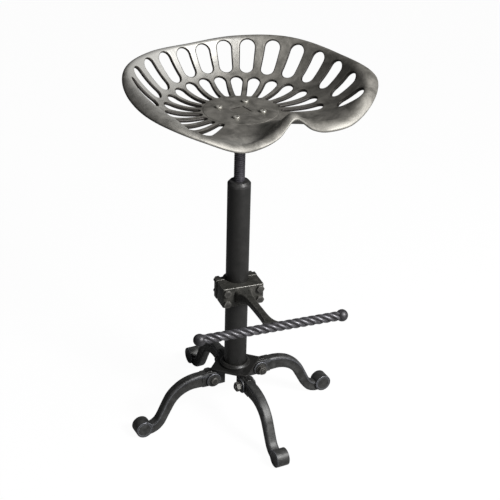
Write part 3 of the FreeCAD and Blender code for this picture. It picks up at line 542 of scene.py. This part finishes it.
def slot_outline(near, far, length, grown):
    """Loop round a slot, in millimetres along and across it: near end, side, far end, side."""
    lean = math.asin((far - near) / (length - near - far))
    reach = length - far
    near, far = near + grown, far + grown
    angle = np.linspace(lean - np.pi / 2, np.pi / 2 - lean, ROUND, endpoint=False)
    share = np.linspace(0, 1, SIDE, endpoint=False)
    first = np.array((near - grown - near * math.sin(lean), near * math.cos(lean)))
    second = np.array((reach - far * math.sin(lean), far * math.cos(lean)))
    side = first + (second - first) * share[:, None]
    back = second + (first - second) * share[:, None]
    start = np.column_stack([near - grown - near * np.cos(angle), near * np.sin(angle)])
    angle = np.linspace(np.pi / 2 + lean, -np.pi / 2 - lean, ROUND, endpoint=False)
    end = np.column_stack([reach + far * np.cos(angle), far * np.sin(angle)])
    return np.vstack([start, side, end, back * (1, -1)])


def on_wall(radius, angle):
    """The u of a radius on the wall."""
    return (radius - DISC) / (at_station(WALL_RADIUS, angle) - DISC)


def surface_of(loop, middle, start, along):
    """The u and angle under a slot's own points, found by halving the range of u until it fits."""
    low, high = np.zeros(len(loop)), np.full(len(loop), 1.9)
    angle = np.full(len(loop), float(middle))
    for _ in range(36):
        u = (low + high) / 2
        for _ in range(2):
            radius, height = section(u, angle, 0.0)
            off = np.arcsin(np.clip(loop[:, 1] / radius, -1, 1))
            angle = middle + np.degrees(off)
        reach = (radius * np.cos(off) - start[0]) * along[0] + (height - start[1]) * along[1]
        low, high = np.where(reach < loop[:, 0], u, low), np.where(reach < loop[:, 0], high, u)
    return u, angle


def wall_wear_light_and_shade(u, angle):
    """How bright the wall is made through the wear attribute: most at the back and on the left, partly polish
    from backs and partly painted light. On the right it is below nought, so the dark tone there is painted
    shade."""
    turned = np.radians(angle)
    return np.clip(u, 0, 1) * (0.3 + 0.95 * np.maximum(np.cos(turned), 0) + 0.7 * np.sin(turned))


def slot_cell(middle, start, end, near, far, inner, outer):
    """The skin of one cell: border, rounded upper edge, wall through the casting, and the same below."""
    s = np.concatenate([
        np.linspace(-1, 1, ROUND, endpoint=False), np.ones(SIDE),
        np.linspace(1, -1, ROUND, endpoint=False), -np.ones(SIDE),
    ])
    v = np.concatenate([
        np.zeros(ROUND), np.linspace(0, 1, SIDE, endpoint=False),
        np.ones(ROUND), np.linspace(1, 0, SIDE, endpoint=False),
    ])
    border_angle = middle + CELL / 2 * s
    border_u = inner(border_angle) * (1 - v) + outer(border_angle) * v
    ends = [np.array(section(np.float64(u), np.float64(middle), 0.0)) for u in (start, end)]
    length = float(np.linalg.norm(ends[1] - ends[0]))
    along = (ends[1] - ends[0]) / length
    bend = np.radians((0, 22.5, 45, 67.5, 90))
    rings = [surface_of(slot_outline(near, far, length, SLOT_EASE * (1 - np.sin(b))), middle, ends[0], along)
             for b in bend]
    shares = np.array((0.0, 0.35, 0.7))
    rows = [(border_u * (1 - p) + rings[0][0] * p, border_angle * (1 - p) + rings[0][1] * p) for p in shares]
    u, angle = (np.stack(item) for item in zip(*(rows + rings)))
    depth = np.concatenate([0 * shares, SLOT_EASE / PAN * (1 - np.cos(bend))])[:, None]
    # Round the slot the wall keeps its wear and painted light; down its walls the dark tone is black scale and
    # painted shade.
    wear = (SLOT_SCALE_AND_SHADE == 0) * wall_wear_light_and_shade(u, angle) - SLOT_SCALE_AND_SHADE
    grid = np.concatenate([seat_skin(u, angle, depth), seat_skin(u, angle, 1 - depth)[::-1]])
    return grid, np.vstack([wear, 0 * u - SLOT_SCALE_AND_SHADE[::-1]]), True, False


def beside_disc(angle):
    """The u of the border between the disc and the inner slots."""
    return on_wall(DISC + DISC_BORDER, angle)


def between_rings(angle):
    """The u of the border between the inner and the outer slots, which ends with the wall at the front."""
    return np.minimum(on_wall(cosines(BETWEEN_RINGS, angle), angle), 1.0)


def below_lip(angle):
    """The u of the border between the outer slots and the lip."""
    return LIP_START + 0 * angle


def solid_front(cells, inner, outer):
    """Both faces of the front, which has no slots, between two borders."""
    angle = 180 + CELL / 2 * np.linspace(-cells, cells, cells * ROUND + 1)
    v = np.linspace(0, 1, SIDE + 1)[:, None]
    u = inner(angle) * (1 - v) + outer(angle) * v
    upper = seat_skin(u, angle, 0.0), wall_wear_light_and_shade(u, angle), False, False
    return [upper, (seat_skin(u, angle, 1.0), 0.0, False, False)]


seat_grids = []
for index in range(INNER_SLOTS):
    middle = np.float64(CELL * (index - (INNER_SLOTS - 1) / 2))
    start, end = on_wall(DISC + DISC_GAP, middle), on_wall(cosines(INNER_FAR, middle), middle)
    seat_grids.append(slot_cell(middle, start, end, *INNER_ENDS, beside_disc, between_rings))
for index in range(OUTER_SLOTS):
    middle = np.float64(CELL * (index - (OUTER_SLOTS - 1) / 2))
    start = on_wall(cosines(OUTER_NEAR, middle), middle)
    seat_grids.append(slot_cell(middle, start, 1.0, *OUTER_ENDS, between_rings, below_lip))
seat_grids += solid_front(CELLS - INNER_SLOTS, beside_disc, between_rings)
seat_grids += solid_front(CELLS - OUTER_SLOTS, between_rings, below_lip)

# %% [markdown]
# Two full rings close the casting. One goes from the slots out over the lip, round its rolled edge and back
# under it. The other goes from the slots in under the disc, up its square hole and out over its top. The
# lip is polished evenly all round. The square hole is darkened as painted shade round the screw's head,
# and the step round the disc is darker.

# %% Lip, disc and the finished seat
LIP_WEAR = 0.45
BEAD_WEAR = (0.5, 0.5, 0.45, 0.3, 0.2, 0.1, 0.0)
DISC_UNDER = [(65.6, -7.0), (64.8, -7.8), (64.0, -8.0), (40.0, -8.0), (24.0, -8.0)]
DISC_TOP = [(24.0, 0.0), (40.0, 0.0), (58.0, 0.0), (64.8, 0.0), (65.3, -0.08), (65.7, -0.35), (65.9, -0.55)]
# The hole's walls take the dark tone as painted shade in the gap round the screw's head; its top edge is worn.
HOLE_SHADE_AND_WEAR = (-1.0, -1.0, -0.9, 0.35)
DISC_WEAR = (0.05, 0.05, 0.05, 0.05, 0.1, 0.1, -0.4)
STEP_WEAR = (-0.4, 0.0, 0.0)


def lip_ring(angle, steps=12):
    """The ring over the lip, round its edge, which is half a circle of the pan's thickness, and back."""
    climb = np.linspace(LIP_START, 2, steps)[:, None]
    curl = np.radians(np.linspace(0, 180, len(BEAD_WEAR) + 2)[1:-1])[:, None]
    curl_angle = np.radians(at_station(LIP_FALL, angle)) + curl
    radius = at_station(RIM_RADIUS, angle) + PAN / 2 * np.sin(curl_angle)
    height = at_station(RIM_HEIGHT, angle) + PAN / 2 * np.cos(curl_angle)
    bead = seat_place(radius, height, angle + 0 * curl)
    grid = np.concatenate([seat_skin(climb, angle, 0.0), bead, seat_skin(climb[::-1], angle, 1.0)])
    share = np.linspace(0, 1, steps)[:, None]
    # The crown goes over from the wall's wear, painted light and painted shade to the lip's even polish.
    crown = wall_wear_light_and_shade(1.0, angle) * (1 - share) + LIP_WEAR * share
    edge = np.append(BEAD_WEAR, np.zeros(steps))[:, None]
    return grid, np.vstack([crown, edge + 0 * angle]), True, False


def disc_ring(angle):
    """The ring from the slots in under the disc, up the square hole and out over the top to the slots."""
    turned = np.radians(angle)
    square = SQUARE_HOLE / np.maximum(np.abs(np.cos(turned)), np.abs(np.sin(turned)))
    hole = [(square, -DISC_THICKNESS), (square, -0.9), (square + 1.1, -0.25), (square + 2.0, 0)]
    rows = DISC_UNDER + hole + DISC_TOP
    disc = np.stack([seat_place(0 * angle + r, 0 * angle + z, angle) for r, z in rows])
    outward = beside_disc(angle) * np.array((0.0, 0.5, 1.0))[:, None]
    grid = np.concatenate([seat_skin(outward[::-1], angle, 1.0), disc, seat_skin(outward, angle, 0.0)])
    under_wear = np.zeros(len(outward) + len(DISC_UNDER))
    wear = np.concatenate([under_wear, HOLE_SHADE_AND_WEAR, DISC_WEAR, STEP_WEAR])[:, None]
    return grid, wear, True, False


all_round = np.arange(COLUMNS) * (360 / COLUMNS)
seat_grids += [lip_ring(all_round), disc_ring(all_round)]
piece("seat_casting", seat_grids, seat_iron, "seat", ["seat_pan"], sharp=55)

# %% [markdown]
# ## Seat bolts
# Four low cap screws hold the seat to its flange. Turned on a lathe and socketed for a hex key, they are a
# profile carried round, with a six-sided hole drawn in at the middle.

# %% Seat bolts, washers and nuts
BOLT_CIRCLE = 77.6
FLANGE_THICKNESS = 6.0
FLANGE_LOW = SEAT_TOP - DISC_THICKNESS - FLANGE_THICKNESS
WASHER_LOW = FLANGE_LOW - 1.6
seat_spot = BOLT_CIRCLE / 2 / math.sqrt(2)
seat_spots = [(x * seat_spot, y * seat_spot) for x in (-1, 1) for y in (-1, 1)]


def socket_head(radius, low, high, key, steps=48):
    """A round head with a rounded rim and a hexagon socket sunk into its top."""
    angle = np.linspace(0, 2 * np.pi, steps, endpoint=False)
    socket = key / 2 / np.cos(angle % (np.pi / 3) - np.pi / 6)
    zero = np.zeros(steps)
    rows = [
        (zero, low), (zero + radius, low), (zero + radius, high - 0.8), (zero + radius - 0.3, high - 0.25),
        (zero + radius - 0.9, high), (socket + 0.3, high), (socket, high - 0.3), (socket, high - 2.0),
        (zero, high - 2.6),
    ]
    grid = np.stack([np.stack([r * np.cos(angle), r * np.sin(angle), zero + z], -1) for r, z in rows])
    return grid, np.array((0, 0, 0.4, 0.9, 0.9, 0.5, 0.2, 0, 0))[:, None], True, False


def moved(grid, x, y, degrees):
    """A grid carried to a spot and then turned about the column."""
    return (about_z(grid[0] + (x, y, 0), degrees), *grid[1:])


head = socket_head(5.75, SEAT_TOP, SEAT_TOP + 3.5, 4.0)
shank = turned_grid([(0, WASHER_LOW - 7), (3, WASHER_LOW - 7), (3, SEAT_TOP), (0, SEAT_TOP)], 0.6, 32)
washer = turned_grid([
    (3.05, WASHER_LOW), (6.25, WASHER_LOW), (6.25, FLANGE_LOW), (3.05, FLANGE_LOW), (3.05, WASHER_LOW),
], 0.3, 48)
nut = hexagon(10, WASHER_LOW - 5, WASHER_LOW)
for name, grids in {"seat_bolts": (head, shank), "seat_washers": (washer,), "seat_nuts": (nut,)}.items():
    spread = [moved(grid, x, y, SEAT_ANGLE) for x, y in seat_spots for grid in grids]
    piece(name + "_turned", spread, zinc_steel, "seat", [name])

# %% [markdown]
# ## Legs
# Each leg is a sand casting that leaves the hub level, bends down over a knee and ends in a scroll. Its
# sides have a shallow flute between two ribs. The shape is a section carried along a path: the top and the
# underside are two smooth curves, and the section between them is a rounded rectangle whose sides are
# drawn in a little above the middle. The foot is a drum, and two cheeks hold the hub's tongue.

# %% The leg's shape along X
LEG_HALF = 8.75
TONGUE_HALF = 4.1
LEG_TOP = [
    (62, 105), (72, 105), (84, 104.8), (98, 102.6), (114, 97), (129, 87.2), (141, 75), (150, 59.4),
    (160, 39), (166.4, 28.8), (174, 23.4), (183, 20.5), (192, 18),
]
LEG_UNDER = [
    (62, 76.8), (70, 77), (80, 77.4), (92, 77.4), (105, 74.2), (117, 67.6), (127, 57.6), (135, 44.4),
    (143.4, 29), (151, 16), (161, 6.4), (174, 0.9), (188, 0),
]


def hump(height, middle, width):
    """A smooth hump of height 1 round a middle."""
    return np.exp(-(((height - middle) / width) ** 2))


def sweep(top, under, half, power, flute, offset=0.0):
    """A section carried along two curves in the XZ plane. Half the width times a rounded square goes across,
    and the other way the section fills the gap between the curves. The flute is drawn in a little above
    the middle, with a low rib over it. Through the wear attribute the corners and the rib are lighter, as
    wear and as a painted highlight, and the flute is darker, as painted shade."""
    top, under = smooth_path(top, 8), smooth_path(under, 8)
    across, height = squarish(power)
    groove = 1 - flute * hump(height, 0.22, 0.26) + 0.35 * flute * hump(height, 0.7, 0.2)
    middle, reach = (top + under) / 2, (top - under) / 2
    x = middle[:, :1] + reach[:, :1] * height
    z = middle[:, 1:] + reach[:, 1:] * height
    y = offset + half * across * groove + 0 * x
    corners = np.abs(across * height) ** 3
    on_side = np.abs(across) > 0.8
    # Corners and rib: wear and painted highlight. Flute: below nought, painted shade.
    wear = 0.9 * corners + 0.6 * on_side * (hump(height, 0.62, 0.12) - hump(height, 0.2, 0.2))
    return closed(np.stack([x, y, z], -1), np.clip(wear, -0.6, 1)[None, :])


def along_y(grid, x, z):
    """A turned grid laid over so that its axis runs along Y, through x and z."""
    points, *rest = grid
    return (np.stack([points[..., 0] + x, points[..., 2], points[..., 1] + z], -1), *rest)


CHEEK_TOP = [(25, 104.9), (34, 105), (48, 105), (60, 105), (72, 104.9)]
CHEEK_UNDER = [(25, 76.4), (34, 76.2), (48, 76.4), (60, 76.8), (72, 77.2)]
LEG_BOLT = (50, 90)
BOSS = 14
BOSS_HALF = 13
DRUM = 16.5
DRUM_REACH = 192.5
leg_grids = [sweep(LEG_TOP, LEG_UNDER, LEG_HALF, 5.5, 0.26)]
cheek_half = (LEG_HALF - TONGUE_HALF) / 2
for side in (-1, 1):
    leg_grids.append(sweep(CHEEK_TOP, CHEEK_UNDER, cheek_half, 8, 0.0, side * (TONGUE_HALF + cheek_half)))
    boss = [(0, TONGUE_HALF), (BOSS, TONGUE_HALF), (BOSS, BOSS_HALF), (0, BOSS_HALF)]
    boss = [(radius, side * y) for radius, y in boss]
    leg_grids.append(along_y(turned_grid(boss, 1.6, 64), *LEG_BOLT))
drum = [(0, -12.2), (DRUM - 4, -12.2), (DRUM - 3, -12.5), (DRUM, -12.5), (DRUM, 12.5), (DRUM - 3, 12.5)]
drum += [(DRUM - 4, 12.2), (0, 12.2)]
leg_grids.append(along_y(turned_grid(drum, 1.5, 72), DRUM_REACH, DRUM))
HEADINGS = {"leg_right": 0, "leg_back": 90, "leg_left": 180, "leg_front": 270}
for name, heading in HEADINGS.items():
    turned_legs = [(about_z(grid[0], heading), *grid[1:]) for grid in leg_grids]
    piece(name + "_casting", turned_legs, leg_iron, "root", [name], sharp=50)

# %% [markdown]
# ## Leg bolts
# A round-headed bolt goes crosswise through each fork, with a washer and a hexagon nut on the other cheek.
# They are turned pieces laid over on their sides and repeated by quarter turns.

# %% Leg bolts, washers and nuts
dome = [(0, BOSS_HALF), (7.5, BOSS_HALF), (7.5, 16.2), (5.6, 17.6), (0, 18.2)]
leg_shank = [(0, -25), (5, -25), (5, BOSS_HALF), (0, BOSS_HALF)]
leg_washer = [(5.05, -15), (10, -15), (10, -BOSS_HALF), (5.05, -BOSS_HALF), (5.05, -15)]
leg_parts = {
    "leg_bolts": [turned_grid(dome, 0.9, 48), turned_grid(leg_shank, 0.8, 48)],
    "leg_washers": [turned_grid(leg_washer, 0.4, 48)],
    "leg_nuts": [hexagon(16, -23, -15)],
}
for name, grids in leg_parts.items():
    laid = [along_y(grid, *LEG_BOLT) for grid in grids]
    spread = [(about_z(grid[0], heading), *grid[1:]) for heading in HEADINGS.values() for grid in laid]
    piece(name + "_turned", spread, dark_steel, "root", [name])

# %% [markdown]
# ## Hub
# The hub is a square plate with a collar round the tube and four tongues below. A plate is an outline
# carried upwards and drawn in at both ends along a quarter circle, which gives it the soft arris of a
# painted casting.

# %% Hub plate, collar and tongues
BORE = 21.3
HUB_SIDE = 75
HUB_LOW, HUB_HIGH = 105, 110
corner = HUB_SIDE / math.sqrt(2)
plate_outline = round_outline([(corner, 0), (0, corner), (-corner, 0), (0, -corner)], 6)
plate = slab(plate_outline, HUB_LOW, HUB_HIGH, 1.2)
collar = turned_grid([(BORE, 106), (29, 106), (29, 114), (25, 118), (BORE, 118), (BORE, 106)], 1.4, 72)
tongue = slab(round_outline([(23, -4), (62, -4), (62, 4), (23, 4)], 0.8), 80, 106, 0.8)
hub_grids = [plate, collar]
hub_grids += [(about_z(tongue[0], heading), *tongue[1:]) for heading in HEADINGS.values()]
piece("hub_casting", hub_grids, black_paint, "root", ["hub_plate"])

# %% [markdown]
# ## Footrest clamp
# Two castings grip the tube. The front one is a block with the footrest's arm growing out of it, and the
# arm is a rounded section that thins towards its neck and flares again where it meets the bar.

# %% Clamp halves and arm
FOOTREST_ANGLE = -5.9
CLAMP_LOW, CLAMP_HIGH = 257.0, 296.0
YOKE = 27.3


def arc(radius, start, end, steps=24):
    """Points on a circle about the column, from one angle to another."""
    angle = np.radians(np.linspace(start, end, steps))
    return np.column_stack([radius * np.cos(angle), radius * np.sin(angle)])


front_corners = round_outline([(-39.5, -1), (-39.5, -36), (39.5, -36), (39.5, -1)], 3.0)
split = math.degrees(math.asin(1 / BORE))
front_outline = np.vstack([front_corners, arc(BORE, -split, -180 + split)])
block = slab(front_outline, CLAMP_LOW, CLAMP_HIGH, 1.2)
# Stations of the arm: Y, half its width, and the heights of its top and its underside.
ARM = [
    (-30, 18.6, 291.5, 261.5), (-36, 18, 291.6, 261.5), (-42, 16, 292, 263.5), (-52, 12, 292.4, 269),
    (-64, 9, 293, 274.5), (-78, 7.6, 293.6, 278.6), (-110, 7.2, 294.8, 281), (-142, 7.4, 296.3, 282.6),
    (-156, 8.8, 297.2, 283.1), (-165, 12, 297.8, 283.3), (-171, 16.4, 298.2, 283.4),
    (-174, 18.8, 298.4, 283.5),
]
path = smooth_path(ARM, 6)
across, height = squarish(4.2, 48)
y, half, high, low = (path[:, i:i + 1] for i in range(4))
arm_grid = np.stack([half * across, y + 0 * across, (high + low) / 2 + (high - low) / 2 * height], -1)
arm = closed(arm_grid, np.clip(np.abs(across * height) * 1.3 - 0.3, 0, 1)[None, :])
clamp_front = [(about_z(grid[0], FOOTREST_ANGLE), *grid[1:]) for grid in (block, arm)]
piece("clamp_front_casting", clamp_front, clamp_iron, "footrest", ["clamp_front"])

ear_end = math.degrees(math.asin(13 / YOKE))
rear_left = np.array([(-BORE, 1), (-40, 1), (-40, 13), (-YOKE * math.cos(math.radians(ear_end)), 13)])
rear_right = rear_left[::-1] * (-1, 1)
yoke_arc, bore_arc = arc(YOKE, 180 - ear_end, ear_end, 28), arc(BORE, split, 180 - split, 28)
rear_outline = np.vstack([rear_left, yoke_arc[1:-1], rear_right, bore_arc[1:-1]])
rear = slab(rear_outline, CLAMP_LOW, CLAMP_HIGH, 1.0)
clamp_rear = [(about_z(rear[0], FOOTREST_ANGLE), *rear[1:])]
piece("clamp_rear_casting", clamp_rear, clamp_iron, "footrest", ["clamp_rear"])

# %% Clamp bolts, washers and nuts
clamp_middle = (CLAMP_LOW + CLAMP_HIGH) / 2
clamp_spots = [(x, clamp_middle + z) for x in (-32, 32) for z in (-11, 11)]
clamp_shank = [(0, -36), (4, -36), (4, 23), (0, 23)]
clamp_washer = [(4.05, 13), (7.25, 13), (7.25, 14.6), (4.05, 14.6), (4.05, 13)]
clamp_parts = {
    "clamp_bolts": [hexagon(13, -41.3, -36, True, False), turned_grid(clamp_shank, 0.8, 32)],
    "clamp_washers": [turned_grid(clamp_washer, 0.3, 48)],
    "clamp_nuts": [hexagon(13, 14.6, 21.1)],
}
for name, grids in clamp_parts.items():
    laid = [along_y(grid, x, z) for x, z in clamp_spots for grid in grids]
    spread = [(about_z(grid[0], FOOTREST_ANGLE), *grid[1:]) for grid in laid]
    piece(name + "_turned", spread, dark_steel, "footrest", [name])

# %% [markdown]
# ## Footrest bar
# A square bar was heated and twisted like a rope, with a ball shrunk on each end. Its section is four
# lobes, each an arc of a circle, which turn once every 58 mm. The grooves are darkened as painted shade,
# and the lobes are lighter, partly from wear and partly as a painted highlight.

# %% Twisted bar and balls
BAR_REACH, BAR_HEIGHT = 178.0, 291.0
BAR_HALF = 133.0
BALL = 11.0
TWIST = 58.0
LOBE = 4.6
LOBE_OUT = 4.1
along = np.linspace(-BAR_HALF + 4, BAR_HALF - 4, 420)[:, None]
around = np.linspace(0, 2 * np.pi, 80, endpoint=False)
lobe = (around + np.pi / 4) % (np.pi / 2) - np.pi / 4
lobe_radius = LOBE_OUT * np.cos(lobe) + np.sqrt(LOBE**2 - (LOBE_OUT * np.sin(lobe)) ** 2)
twisted = around + np.pi / 4 + 2 * np.pi * along / TWIST
bar_y = lobe_radius * np.cos(twisted) - BAR_REACH
bar_z = lobe_radius * np.sin(twisted) + BAR_HEIGHT
# Lobes lighter as wear and painted highlight; grooves below nought, darkened as painted shade.
bar_wear_and_painted_light = 1.1 * np.maximum(np.cos(2 * lobe), 0) ** 1.5 - 0.45
bar = closed(np.stack([along + 0 * bar_y, bar_y, bar_z], -1), bar_wear_and_painted_light[None, :])
bar_grids = [(about_z(bar[0], FOOTREST_ANGLE), *bar[1:])]
piece("footrest_bar_forged", bar_grids, bar_iron, "footrest", ["footrest_bar"], sharp=60)

latitude = np.linspace(-np.pi / 2, np.pi / 2, 33)
ball = lathe(BALL * np.column_stack([np.cos(latitude), np.sin(latitude)]), 64)
for side, name in ((-1, "bar_ball_left"), (1, "bar_ball_right")):
    points = ball[..., (2, 0, 1)] + (side * BAR_HALF, -BAR_REACH, BAR_HEIGHT)
    ball_grids = [(about_z(points, FOOTREST_ANGLE), -0.15, True, False)]
    piece(name + "_forged", ball_grids, bar_iron, "footrest", [name])

# %% [markdown]
# ## Floor and light
# The photo shows the stool on plain white. A wide pale floor keeps a soft shadow. The world is white to the
# camera and a dim grey room to everything else. The main lamp stands high on the right and in front,
# because the seat's left inside is bright in the photo and its right inside dark.

# %% Floor, world and lamps
floor_mesh = bpy.data.meshes.new("floor")
corners = np.array(((-8, -8, 0), (8, -8, 0), (8, 8, 0), (-8, 8, 0)), float)
floor_mesh.from_pydata(corners.tolist(), [], [(0, 1, 2, 3)])
floor = bpy.data.objects.new("floor", floor_mesh)
bpy.context.scene.collection.objects.link(floor)
floor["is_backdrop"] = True
floor_paint = bpy.data.materials.new("pale_floor")
floor_paint.use_nodes = True
tree = floor_paint.node_tree
seen = add(tree, "ShaderNodeLightPath").outputs["Is Camera Ray"]
tint = add(tree, "ShaderNodeMix", {
    "Factor": seen, 6: linear("#8a8a8a"), 7: linear("#f4f4f4"),
}, data_type="RGBA")
matt = add(tree, "ShaderNodeBsdfDiffuse", {"Color": tint.outputs[2]})
glow = add(tree, "ShaderNodeEmission", {"Color": (1, 1, 1, 1), "Strength": 1.0})
share = add(tree, "ShaderNodeMath", {0: seen, 1: 0.97}, operation="MULTIPLY")
mixed = add(tree, "ShaderNodeMixShader", {0: share.outputs[0], 1: matt.outputs[0], 2: glow.outputs[0]})
tree.links.new(mixed.outputs[0], tree.nodes["Material Output"].inputs["Surface"])
floor_mesh.materials.append(floor_paint)

world = bpy.data.worlds.new("studio")
world.use_nodes = True
bpy.context.scene.world = world
tree = world.node_tree
seen = add(tree, "ShaderNodeLightPath").outputs["Is Camera Ray"]
room = add(tree, "ShaderNodeBackground", {"Color": linear("#c9cbcf"), "Strength": 0.09})
white = add(tree, "ShaderNodeBackground", {"Color": (1, 1, 1, 1), "Strength": 1.0})
mixed = add(tree, "ShaderNodeMixShader", {0: seen, 1: room.outputs[0], 2: white.outputs[0]})
tree.links.new(mixed.outputs[0], tree.nodes["World Output"].inputs["Surface"])

TARGET = np.array((0, 0, 0.4))
for name, right, back, up, size, watts in (
    ("key", 1.35, 1.25, 0.6, 0.7, 104),
    ("top", -0.2, 0.6, 2.0, 1.2, 2.5),
    ("left", -1.6, 0.6, 0.7, 1.2, 0.6),
):
    lamp = bpy.data.lights.new(name, "AREA")
    lamp.size = size
    lamp.energy = watts
    place = TARGET + right * RIGHT - back * FORWARD + up * np.array((0, 0, 1))
    holder = bpy.data.objects.new(name, lamp)
    bpy.context.scene.collection.objects.link(holder)
    away = Matrix.Translation(place)
    look = (Matrix.Translation(TARGET).translation - away.translation).to_track_quat("-Z", "Y")
    holder.matrix_world = away @ look.to_matrix().to_4x4()

# %% Sizes and finish
print("visual box", plain_box())
